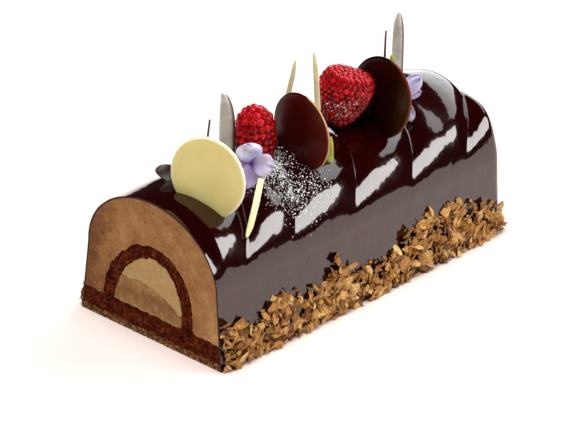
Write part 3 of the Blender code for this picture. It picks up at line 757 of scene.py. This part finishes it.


# The looks of the layers by slot: stops of the tone, scale and depth of the pores, how dark crumbs are, how
# dark the painted shade in the pits is, and shine
LAYER_LOOKS = {
    "mousse": (
        ((0.0, (0.16, 0.06, 0.017)), (0.45, (0.32, 0.148, 0.047)), (1.0, (0.49, 0.27, 0.105))),
        1000, 0.2, 0.84, 0.35),
    "sponge": (
        ((0.0, (0.026, 0.003, 0.001)), (0.5, (0.122, 0.016, 0.004)), (1.0, (0.24, 0.056, 0.014))),
        1000, 0.5, 0.22, 0.5, 0.06),
    "cream_upper": (
        ((0.0, (0.33, 0.19, 0.068)), (0.5, (0.46, 0.3, 0.118)), (1.0, (0.58, 0.41, 0.18))),
        900, 0.14, 0.86, 0.6),
    "cream_lower": (
        ((0.0, (0.13, 0.055, 0.015)), (0.5, (0.29, 0.145, 0.048)), (1.0, (0.45, 0.275, 0.11))),
        900, 0.2, 0.82, 0.5),
    "crunch": (
        ((0.0, (0.08, 0.026, 0.008)), (0.5, (0.3, 0.14, 0.042)), (1.0, (0.64, 0.39, 0.15))),
        800, 0.5, 0.3),
}


def layer_pieces():
    materials = {slot: layer_material(slot, *look) for slot, look in LAYER_LOOKS.items()}
    upper, lower = cream_outlines()
    crunch_slab = slab_outline(0.0, CRUNCH_TOP, CUT_GLAZE)
    sponge_slab = slab_outline(CRUNCH_TOP + JOIN, SPONGE_TOP, CUT_GLAZE)
    arch_ring = arch(ARCH_OUTER, -JOIN) + arch(ARCH_INNER, JOIN)[::-1]
    crumbs = drifting(0.5, (0.55, 1.5, 7.0), (0.4, 5.0, 1.0))
    layers = (
        ("crunch_base", "crunch", crunch_slab, 0.5, crumb_depth(1.2, 0.9), drifting(0.5, (0.55, 1.6, 9.0))),
        ("sponge_base", "sponge", sponge_slab, 0.55, crumb_depth(0.9, 0.7), crumbs),
        ("mousse", "mousse", mousse_outline(CUT_GLAZE), 0.7, crumb_depth(3.2, 0.22, 0.5), mousse_tone),
        ("sponge_arch", "sponge", arch_ring, 0.55, crumb_depth(0.9, 0.7), crumbs),
        ("cream_upper", "cream_upper", upper, 0.6, crumb_depth(2.6, 0.2, 0.3),
         drifting(0.55, (0.2, 6, 3.0), (0.08, 1.4, 3.0))),
        ("cream_lower", "cream_lower", lower, 0.6, crumb_depth(1.6, 0.35, 0.3), lower_cream_tone),
    )
    for name, slot, outline, step, depth_at, tone_at in layers:
        layer_piece(name, outline, step, depth_at, tone_at, materials[slot])


# Decorations

FACING = radians(-46.5)
DISC_SIDES = 120
DISC_THICK = 1.8
DISC_DISH = 0.7
DISC_RIM = 0.94
DISC_HUB = 0.06


def disc_piece(name, centre, azimuth, elevation, diameter, material, sided=0.0):
    """A thin round plaque, a little dished and uneven, with a rounded rim. Its edge attribute is the share
    of the radius, with sided = 1 on the front side only, and its side attribute grows towards the front. The
    material paints light by them: a painted rim highlight along the edge and a painted highlight on the front
    side."""
    facing = polar(1, radians(azimuth), tan(radians(elevation)))
    turn = facing.to_track_quat("Z", "Y").to_matrix()
    profile = [(share, 1.0) for share in np.linspace(DISC_HUB, DISC_RIM, 15)]
    for a in np.linspace(0.2, pi - 0.2, 9):
        profile.append((DISC_RIM + (1 - DISC_RIM) * sin(a), cos(a)))
    profile += [(share, -1.0) for share in np.linspace(DISC_RIM, DISC_HUB, 15)]
    bm = bmesh.new()
    rings = []
    marks = {"edge": [], "side": []}
    for share, height in profile:
        ring = []
        for angle in turns(DISC_SIDES):
            wave = 1 + 0.006 * wander(3 * cos(angle), 3 * sin(angle), centre[0])
            reach = share * diameter / 2 * wave
            u, v = reach * cos(angle), reach * sin(angle)
            w = height * DISC_THICK / 2 + DISC_DISH * (0.5 - share * share * 0.75)
            w += 0.15 * wander(u / 9, v / 9, centre[0])
            offset = turn @ Vector((u, v, w))
            ring.append(bm.verts.new(Vector(centre) + offset))
            # edge places the painted rim highlight, side the painted highlight on the front side
            front = -offset.y / (diameter / 2)
            marks["edge"].append(share * (1 - 0.25 * sided * smooth((0.3 - front) / 0.8)))
            marks["side"].append(clamp(front))
        rings.append(ring)
    bridge(bm, rings)
    finish_piece(name + "_smooth", bm, material, [name], 180, marks)


def swell(t, start, widest, roundness):
    """Half width, as a share of the largest, at share t of a length: it grows from start and closes round."""
    if t < widest:
        return 1 - (1 - start) * ((widest - t) / widest) ** 2
    return sqrt(max(0.0, 1 - ((t - widest) / (1 - widest)) ** roundness))


BERRY_START = 0.84
DRUPELET_SUNK = 0.45
HAIR_SHARE = 0.5
HAIR_LENGTH = (0.8, 1.9)


def raspberry_piece(name, start, end, radius, form, drupelet, material, seed, cap=()):
    """Rows of round drupelets on a rounded cone, some with a fine hair, and the open end's rim."""
    rng = random.Random(seed)
    start, end = Vector(start), Vector(end)
    length = (end - start).length
    turn = (end - start).to_track_quat("Z", "Y").to_matrix()
    template = bmesh.new()
    bmesh.ops.create_icosphere(template, subdivisions=3, radius=1.0)
    shape = [v.co.copy() for v in template.verts]
    corners = [[v.index for v in f.verts] for f in template.faces]
    template.free()
    bm = bmesh.new()
    tones = []

    def vertex(point, tone):
        tones.append(tone)
        return bm.verts.new(start + turn @ point)

    def ball(centre, normal, size):
        up = normal.to_track_quat("Z", "Y").to_matrix()
        tone = clamp(rng.gauss(0.6, 0.2))
        stretch = Vector((rng.uniform(0.92, 1.08), rng.uniform(0.92, 1.08), rng.uniform(0.9, 1.1)))
        verts = [vertex(centre + up @ (co * stretch * size), tone) for co in shape]
        for face in corners:
            bm.faces.new([verts[k] for k in face])

    def hair(centre, normal, size):
        root = centre + normal * size * 0.85
        side = normal.orthogonal().normalized()
        side.rotate(Matrix.Rotation(rng.uniform(0, 6.28), 3, normal))
        other = normal.cross(side)
        reach = rng.uniform(*HAIR_LENGTH)
        rings = []
        for share, wide in ((0, 0.09), (0.5, 0.07), (1, 0.03)):
            middle = root + normal * reach * share + side * reach * 0.5 * share * share
            around = [(side * cos(a) + other * sin(a)) * wide for a in turns(3)]
            rings.append([vertex(middle + offset, 1.0) for offset in around])
        bridge(bm, rings)

    def grow(centre, normal, size):
        ball(centre, normal, size)
        if rng.random() < HAIR_SHARE:
            hair(centre, normal, size)

    shares = np.linspace(0.0, 1.0, 400)
    widths = np.array([radius * swell(t, BERRY_START, *form) for t in shares])
    run = np.concatenate([[0.0], np.cumsum(np.hypot(np.diff(widths), np.diff(shares) * length))])
    rows = round(run[-1] / (drupelet * 1.6))
    for row in range(rows + 1):
        at = run[-1] * row / rows
        t, wide = float(np.interp(at, run, shares)), float(np.interp(at, run, widths))
        before, after = max(at - 0.4, 0.0), min(at + 0.4, float(run[-1]))
        rise = (np.interp(after, run, shares) - np.interp(before, run, shares)) * length
        spread = np.interp(after, run, widths) - np.interp(before, run, widths)
        out = Vector((float(rise), float(-spread))).normalized()
        count = max(1, round(2 * pi * wide / (drupelet * 1.84)))
        for k in range(count):
            angle = 2 * pi * (k + 0.5 * (row % 2) + rng.uniform(-0.14, 0.14)) / count
            size = drupelet * rng.uniform(0.86, 1.16)
            reach = max(0.0, wide - size * DRUPELET_SUNK * out.x)
            along = length * t - size * DRUPELET_SUNK * out.y + rng.uniform(-0.12, 0.12) * drupelet
            grow(polar(reach, angle, along), polar(out.x, angle, out.y), size)
    for share, drop in cap:
        wide = radius * share
        count = max(1, round(2 * pi * wide / (drupelet * 1.86)))
        for k in range(count):
            angle = 2 * pi * (k + rng.uniform(-0.08, 0.08)) / count + share * 9
            normal = polar(share, angle, -1.0 + 0.6 * share).normalized()
            grow(polar(wide, angle, -drop * radius), normal, drupelet * rng.uniform(0.92, 1.12))
    # The core between the drupelets takes the darkest tone: painted shade in the gaps between them
    shaded_core = []
    for t in np.linspace(0.0, 0.95, 12):
        wide = max(0.4, radius * swell(t, BERRY_START, *form) - drupelet * 0.75)
        shaded_core.append([vertex(polar(wide, angle, length * t), 0.0) for angle in turns(24)])
    bridge(bm, shaded_core)
    return finish_piece(name + "_fruit", bm, material, [name], 180, {"tone": tones})


def leaf_grid(length, width, form, cup, curl, wave, skew, steps, across):
    """A leaf in its own frame: it grows along Z, spreads along X, and cups and curls towards Y."""
    rows = []
    for i in range(steps + 1):
        t = i / steps
        half = width / 2 * max(form[3] if t < 1 else 0.04, swell(t, *form[:3]))
        middle = -skew * (width / 2 - half) * t
        line = []
        for j in range(across + 1):
            v = 2 * j / across - 1
            y = cup * v * v * sin(pi * min(1, t + 0.15)) + curl * t * t
            y += wave * sin(3.1 * v + 5.0 * t) * t
            line.append((Vector((middle + half * v, y, length * t)), t, v))
        rows.append(line)
    return rows


def sheet(bm, rows, thick, turn, foot, marks):
    """A thin closed sheet from a grid of (point, t, v), thinner towards its edges."""
    count, across = len(rows), len(rows[0])
    layers = []
    for sign in (1, -1):
        layer = []
        for i in range(count):
            line = []
            for j in range(across):
                point, t, v = rows[i][j]
                along = rows[min(i + 1, count - 1)][j][0] - rows[max(i - 1, 0)][j][0]
                cross = rows[i][min(j + 1, across - 1)][0] - rows[i][max(j - 1, 0)][0]
                normal = along.cross(cross)
                normal = normal.normalized() if normal.length > 1e-9 else Vector((0, 1, 0))
                edge = sqrt(max(0.12, 1 - abs(v) ** 6))
                line.append(bm.verts.new(foot + turn @ (point + normal * sign * thick / 2 * edge)))
                marks["tone"].append(t)
                marks["side"].append(abs(v))
                marks["edge"].append((v + 1) / 2)
            layer.append(line)
        layers.append(layer)
        for i in range(count - 1):
            for j in range(across - 1):
                bm.faces.new((layer[i][j], layer[i + 1][j], layer[i + 1][j + 1], layer[i][j + 1]))
    rim = [(i, 0) for i in range(count)] + [(count - 1, j) for j in range(1, across)]
    rim += [(i, across - 1) for i in range(count - 2, -1, -1)] + [(0, j) for j in range(across - 2, 0, -1)]
    top, bottom = layers
    for (i, j), (m, n) in zip(rim, rim[1:] + rim[:1]):
        bm.faces.new((top[i][j], top[m][n], bottom[m][n], bottom[i][j]))


def standing_turn(lean, roll=0.0):
    turn = Matrix.Rotation(FACING, 3, "Z") @ Matrix.Rotation(radians(lean), 3, "Y")
    return turn @ Matrix.Rotation(radians(roll), 3, "X")


def leaf_piece(name, foot, length, width, form, cup, curl, skew, lean, material, slot):
    bm = bmesh.new()
    marks = {"tone": [], "side": [], "edge": []}
    rows = leaf_grid(length, width, form, cup, curl, 0.3, skew, 40, 12)
    sheet(bm, rows, 0.7, standing_turn(lean), Vector(foot), marks)
    finish_piece(name + "_thin", bm, material, [name], 180, marks)


def flower_piece(name, centre, petals, material, seed):
    """Soft wavy petals from one throat, with a small swollen heart."""
    rng = random.Random(seed)
    bm = bmesh.new()
    marks = {"tone": [], "side": [], "edge": []}
    tints = []
    for lean, roll, length, width, cup, curl, tint in petals:
        rows = leaf_grid(length, width, (0.35, 0.55, 2.2, 0.2), cup, curl, 0.7, 0.0, 22, 16)
        shift = rng.uniform(0, 9)
        for line in rows:
            for k, (point, t, v) in enumerate(line):
                edge = 1 + 0.05 * t * wander(v * 4, shift, 0)
                ruffle = 1.8 * t * t * wander(v * 2.6 + shift, t * 2.2, shift)
                line[k] = (Vector((point.x * edge, point.y + ruffle, point.z * edge)), t, v)
        sheet(bm, rows, 0.35, standing_turn(lean, roll), Vector(centre), marks)
        tints += [tint] * (len(marks["tone"]) - len(tints))
    heart = bmesh.ops.create_icosphere(bm, subdivisions=2, radius=1.1, matrix=Matrix.Translation(centre))
    for vert in heart["verts"]:
        vert.co += (vert.co - Vector(centre)) * rng.uniform(-0.1, 0.2)
    for values in (*marks.values(), tints):
        values += [0.0] * len(heart["verts"])
    marks["tint"] = tints
    finish_piece(name + "_petals", bm, material, [name], 180, marks)


ROD_STEPS = 40


def rod_piece(name, ring_at, material, smooth_angle):
    """A closed rod through the rings that ring_at gives for shares of its length."""
    bm = bmesh.new()
    bridge(bm, [[bm.verts.new(point) for point in ring_at(k / ROD_STEPS)] for k in range(ROD_STEPS + 1)])
    finish_piece(name, bm, material, [name.rsplit("_", 1)[0]], smooth_angle)


def stick_piece(name, foot, tip, width, material):
    """A flat chocolate stick with rounded edges, a slight bend and a narrowed slanted tip."""
    foot, tip = Vector(foot), Vector(tip)
    along = (tip - foot).normalized()
    side = polar(1, FACING, 0)
    across = (side - along * side.dot(along)).normalized()
    depth = along.cross(across)
    length = (tip - foot).length

    def ring_at(share):
        wide = float(np.interp(share, (0, 0.45, 0.8, 0.93, 1.0), (1.0, 1.0, 0.95, 0.7, 0.3)))
        shift = float(np.interp(share, (0, 0.45, 0.8, 1.0), (0, 0.35, 0.2, -0.3)))
        bend = 0.6 * sin(pi * share) + 0.15 * wander(share * 7, length, 0)
        middle = foot + along * length * share + across * shift + depth * bend
        ring = []
        for angle in turns(16):
            u = copysign(abs(cos(angle)) ** 0.5, cos(angle))
            v = copysign(abs(sin(angle)) ** 0.5, sin(angle))
            ring.append(middle + across * u * wide * width / 2 + depth * v * 0.65)
        return ring

    rod_piece(name + "_round", ring_at, material, 50)


def twig_piece(name, foot, tip, radii, material):
    """A drop of chocolate drawn out into a thread."""
    foot, tip = Vector(foot), Vector(tip)
    along = (tip - foot).normalized()
    across = along.orthogonal().normalized()
    depth = along.cross(across)

    def ring_at(share):
        radius = float(np.interp(share, np.linspace(0, 1, len(radii)), radii))
        radius *= 1 + 0.15 * wander(share * 9, tip.x, 0)
        middle = foot.lerp(tip, share) + across * 0.7 * sin(2.6 * share)
        middle += depth * 0.3 * wander(share * 3, tip.x, 5.0)
        return [middle + (across * cos(a) + depth * sin(a)) * radius for a in turns(14)]

    rod_piece(name + "_drawn", ring_at, material, 180)


# Where the icing sugar fell on the log: (x, c, spread, share of the grains)
SUGAR_SPOTS = (
    (69, -7, 4.5, 0.2),
    (61, -14, 5.5, 0.25),
    (55, -22, 8, 0.22),
    (61, -32, 6, 0.23),
    (74, -30, 6, 0.1),
)
SUGAR_GRAINS = 2400
BERRY_GRAINS = 190
GRAIN_RADIUS = 0.14
GRAIN_LARGEST = 0.45
GRAIN_LIFT = 0.05
LARGE_BERRY_MIDDLE = (115, -7.5, 84)


def sugar_piece(berry, material):
    """Icing sugar: single grains and small clumps on the glaze and on the large berry."""
    rng = random.Random(21)
    bm = bmesh.new()
    places = []
    for x, c, spread, share in SUGAR_SPOTS:
        for _ in range(round(SUGAR_GRAINS * share)):
            at_x, at_c = rng.gauss(x, spread), rng.gauss(c, spread)
            if 5 < at_x < LENGTH - 10 and abs(at_c) < PILLOW_REACH - 0.1:
                places.append(log_point(at_x, at_c, GRAIN_LIFT))
    fruit = berry.data
    body = BVHTree.FromPolygons([v.co for v in fruit.vertices], [p.vertices for p in fruit.polygons])
    middle = place(LARGE_BERRY_MIDDLE)
    for _ in range(BERRY_GRAINS):
        outward = Vector((rng.gauss(-0.8, 0.5), rng.gauss(-0.8, 0.5), rng.uniform(-0.9, 0.15)))
        outward.normalize()
        hit = body.ray_cast(middle + outward * 30 * MM, -outward)[0]
        if hit is not None:
            places.append((hit - ORIGIN) / MM + outward * GRAIN_LIFT)
    for centre in places:
        size = min(GRAIN_LARGEST, GRAIN_RADIUS * exp(rng.gauss(0, 0.5)))
        turn = Matrix.Translation(centre) @ Matrix.Rotation(rng.uniform(0, 6.28), 4, "Z")
        grain = bmesh.ops.create_icosphere(bm, subdivisions=1, radius=size, matrix=turn)
        for vert in grain["verts"]:
            vert.co += (vert.co - centre) * rng.uniform(-0.3, 0.3)
    finish_piece("icing_sugar", bm, material, (), 30)


# Two tones, roughness, scale of the drift, coat, and where needed rim, sheen and shine. On the plaques the
# rim is a painted rim highlight and the sheen a painted highlight on the front side.
CHOCOLATES = {
    "white_chocolate": ((0.66, 0.56, 0.185), (0.74, 0.655, 0.25), 0.4, 50, 0.1,
                        (0.93, 0.985, (0.9, 0.86, 0.6))),
    "stick_chocolate": ((0.8, 0.74, 0.4), (0.87, 0.82, 0.52), 0.45, 200, 0.1),
    "red_dark_chocolate": ((0.03, 0.001, 0.001), (0.046, 0.003, 0.002), 0.22, 70, 0.04,
                           (0.982, 0.998, (0.55, 0.33, 0.15)), (0.3, 1.0, (0.095, 0.006, 0.001)), 0.2),
    "dark_chocolate": ((0.006, 0.0008, 0.0008), (0.012, 0.002, 0.001), 0.22, 50, 0.04,
                       (0.96, 0.99, (0.13, 0.02, 0.01)), (0.45, 0.95, (0.036, 0.013, 0.001)), 0.2),
    "thread_chocolate": ((0.035, 0.006, 0.004), (0.075, 0.02, 0.012), 0.2, 200, 0.4),
    # The pale grey of the chocolate blades is a painted reflection on glossy brown chocolate; the brown rim
    # along one edge is the chocolate's own colour
    "chocolate_leaf": ((0.54, 0.52, 0.44), (0.86, 0.86, 0.78), 0.3, 160, 0.5,
                       (0.74, 0.86, (0.16, 0.1, 0.065))),
    "curl_chocolate": ((0.085, 0.062, 0.05), (0.24, 0.21, 0.19), 0.22, 200, 0.6),
}


def decorations():
    made = [chocolate_material(name, *look) for name, look in CHOCOLATES.items()]
    white, cream, red_dark, dark, thread, shard, brown = made
    berry = berry_material()
    petal = petal_material()
    leaf = leaf_material()
    disc_piece("disc_white", (17.5, -18.1, 79.85), 195, 4.5, 37.0, white)
    disc_piece("disc_dark_1", (77.8, -16.8, 81.2), 175.7, 0, 36.2, red_dark, 1.0)
    disc_piece("disc_dark_2", (129.0, -18.3, 81.8), 176.5, 9, 38.1, dark, 1.0)
    raspberry_piece("raspberry_1", (63.9, -1.6, 69.5), (64.6, -1.1, 92.5), 8.6, (0.4, 2.8), 2.0, berry, 3)
    closed = ((0.74, 0.0), (0.56, 0.04), (0.38, 0.06), (0.2, 0.07), (0.03, 0.07))
    large = raspberry_piece("raspberry_2", (118, -9.2, 93.7), (112.0, -6.2, 70.2), 12.2, (0.24, 1.3), 1.5,
                            berry, 8, closed)
    stick_piece("stick_1", (44.5, -23.9, 71.7), (24.1, -35.2, 54.6), 2.9, cream)
    stick_piece("stick_2", (81.9, 3.6, 66.0), (88.5, -3.4, 108.4), 2.5, cream)
    stick_piece("stick_3", (93.2, -12.9, 66.0), (91.9, -11.5, 113.4), 2.6, cream)
    twig_piece("twig_1", (40.4, 7.6, 66.0), (42.5, 5.5, 91.5), (0.7, 0.6, 0.55, 0.5, 0.4), thread)
    twig_piece("twig_2", (147.6, -3, 66), (148.4, -3.9, 104.6), (2.2, 2.1, 1.8, 0.6, 0.5, 0.45), thread)
    # Chocolate and green leaves: foot, length, width, form, cup, curl, skew, lean
    blade, green = (shard, "chocolate_leaf"), (leaf, "leaf")
    leaf_piece("blade_1", (53.0, 5.5, 66.0), 36.0, 7.2, (0.9, 0.35, 2.6, 0.3), 1.2, -1.5, 0.7, 1.0, *blade)
    leaf_piece("blade_2", (158.6, -2.2, 66.0), 45.0, 5.4, (0.9, 0.6, 2.6, 0.3), 0.9, -1.0, 0.0, 0.5, *blade)
    leaf_piece("curl", (26.8, 2.7, 71.4), 15.0, 9.0, (0.8, 0.4, 2.0, 0.2), -1.5, 1.0, 0.0, -84.0,
               brown, "chocolate_leaf")
    narrow = (0.6, 0.4, 1.6, 0.1)
    leaf_piece("leaf_green_1", (88.3, -24.3, 62.6), 14.5, 3.0, narrow, 0.6, 0.8, 0.0, 2.0, *green)
    leaf_piece("leaf_green_2", (153.0, -5.4, 66.0), 25.5, 4.6, narrow, 0.8, 0.6, 0.0, -3.0, *green)
    # Petals: lean, roll, length, width, cup, curl, tint
    first = (
        (-14, -8, 9.0, 12.0, 1.1, 0.6, 0.0),
        (92, 10, 9.5, 11.0, -1.1, 0.5, 0.1),
        (192, 8, 12.0, 8.2, 1.0, 0.5, 0.75),
        (236, -12, 7.5, 7.5, 1.0, 0.8, 0.9),
    )
    second = (
        (42, -6, 12.5, 8.6, 1.2, 0.8, 0.3),
        (84, -20, 10.0, 6.0, 1.2, 0.8, 0.5),
        (160, -6, 14.0, 6.6, -1.2, 0.8, 0.2),
    )
    flower_piece("flower_1", (43.0, -19.6, 78.4), first, petal, 2)
    flower_piece("flower_2", (141.0, -20.6, 79.0), second, petal, 6)
    sugar_piece(large, sugar_material())


# Light, floor and camera

LOG_MIDDLE = Vector((95, 0, 40))
LIGHT_DISTANCE = 3000
# The two white cards that the glaze mirrors: columns of (azimuth, lowest and highest elevation)
SIDE_CARD = ((-60, 14, 27), (-55, 9.5, 39), (-50, 10.5, 38), (-45, 14, 32), (-40, 17.5, 27), (-38, 19, 26))
SIDE_RADIANCE = 9.4
BACK_CARD = ((-34, 33, 43), (-20, 31, 52), (-12, 29, 54), (-5, 27, 55), (0, 23, 55), (7, 20, 54),
             (13, 15, 53), (20, 10, 52), (27, 7, 48), (35, 3, 42), (42, 0.5, 36), (46, 0.5, 20))
BACK_RADIANCE = 2.7
# The soft box above: azimuth, elevation and the angle that its sides span
TOP_BOX = (200, 78, 44)
TOP_RADIANCE = 8.2
WORLD_STRENGTH = 0.01
FLOOR_HALF = 4000
CAMERA_PLACE = (-738.8, -780.2, 592.9)
CAMERA_FORWARD = (0.6506, 0.617, -0.4428)
CAMERA_LENS = 175.46
CAMERA_SENSOR = 36.0


def direction(azimuth, elevation):
    elevation = radians(elevation)
    return polar(cos(elevation), radians(azimuth), sin(elevation))


def top_box():
    """A soft box seen from the log's middle, which the glaze doesn't mirror."""
    azimuth, elevation, angle = TOP_BOX
    outward = direction(azimuth, elevation)
    light = bpy.data.lights.new("top_box", "AREA")
    light.size = 2 * LIGHT_DISTANCE * MM * tan(radians(angle / 2))
    light.energy = TOP_RADIANCE * pi * light.size ** 2
    lamp = bpy.data.objects.new("top_box", light)
    lamp.location = place(LOG_MIDDLE + outward * LIGHT_DISTANCE)
    lamp.rotation_euler = outward.to_track_quat("Z", "Y").to_euler()
    lamp.visible_glossy = False
    scene.collection.objects.link(lamp)


def light_card(name, columns, radiance):
    """An even white card seen from the log's middle."""
    bm = bmesh.new()
    pairs = []
    for azimuth, *heights in columns:
        points = [place(LOG_MIDDLE + direction(azimuth, height) * LIGHT_DISTANCE) for height in heights]
        pairs.append([bm.verts.new(point) for point in points])
    for first, second in zip(pairs, pairs[1:]):
        bm.faces.new((first[0], second[0], second[1], first[1]))
    shade = Shade(name, (0.0, 0.0, 0.0), 1.0, Specular_IOR_Level=0.0, Emission_Color=(0.94, 0.98, 1.0, 1),
                  Emission_Strength=radiance)
    card = object_from(name, bm, shade.material)


def pale_floor():
    bm = bmesh.new()
    bmesh.ops.create_grid(bm, x_segments=4, y_segments=4, size=FLOOR_HALF)
    for vert in bm.verts:
        vert.co = place((vert.co.x + LOG_MIDDLE.x, vert.co.y, 0))
    shade = Shade("floor", (0.82, 0.69, 0.65), 0.7, Specular_IOR_Level=0.1)
    shade.colour(shade.ramp(shade.grain(2, 2), (0.3, (0.815, 0.685, 0.645)), (0.7, (0.825, 0.695, 0.655))))
    floor = object_from("floor", bm, shade.material)


def studio():
    pale_floor()
    light_card("side_card", SIDE_CARD, SIDE_RADIANCE)
    light_card("back_card", BACK_CARD, BACK_RADIANCE)
    top_box()
    world = bpy.data.worlds.new("studio")
    world.use_nodes = True
    background = world.node_tree.nodes["Background"]
    background.inputs["Color"].default_value = (0.9, 0.93, 1.0, 1)
    background.inputs["Strength"].default_value = WORLD_STRENGTH
    scene.world = world


def camera():
    data = bpy.data.cameras.new("camera")
    data.lens = CAMERA_LENS
    data.sensor_width = CAMERA_SENSOR
    data.clip_start, data.clip_end = 0.02, 20.0
    made = bpy.data.objects.new("camera", data)
    made.location = place(CAMERA_PLACE)
    made.rotation_euler = Vector(CAMERA_FORWARD).to_track_quat("-Z", "Y").to_euler()
    scene.collection.objects.link(made)
    scene.camera = made


scene.view_settings.view_transform = "Standard"
scene.view_settings.look = "None"

glaze_piece(glaze_material(), glaze_cut_material())
wafer_piece(wafer_material())
layer_pieces()
decorations()
studio()
camera()
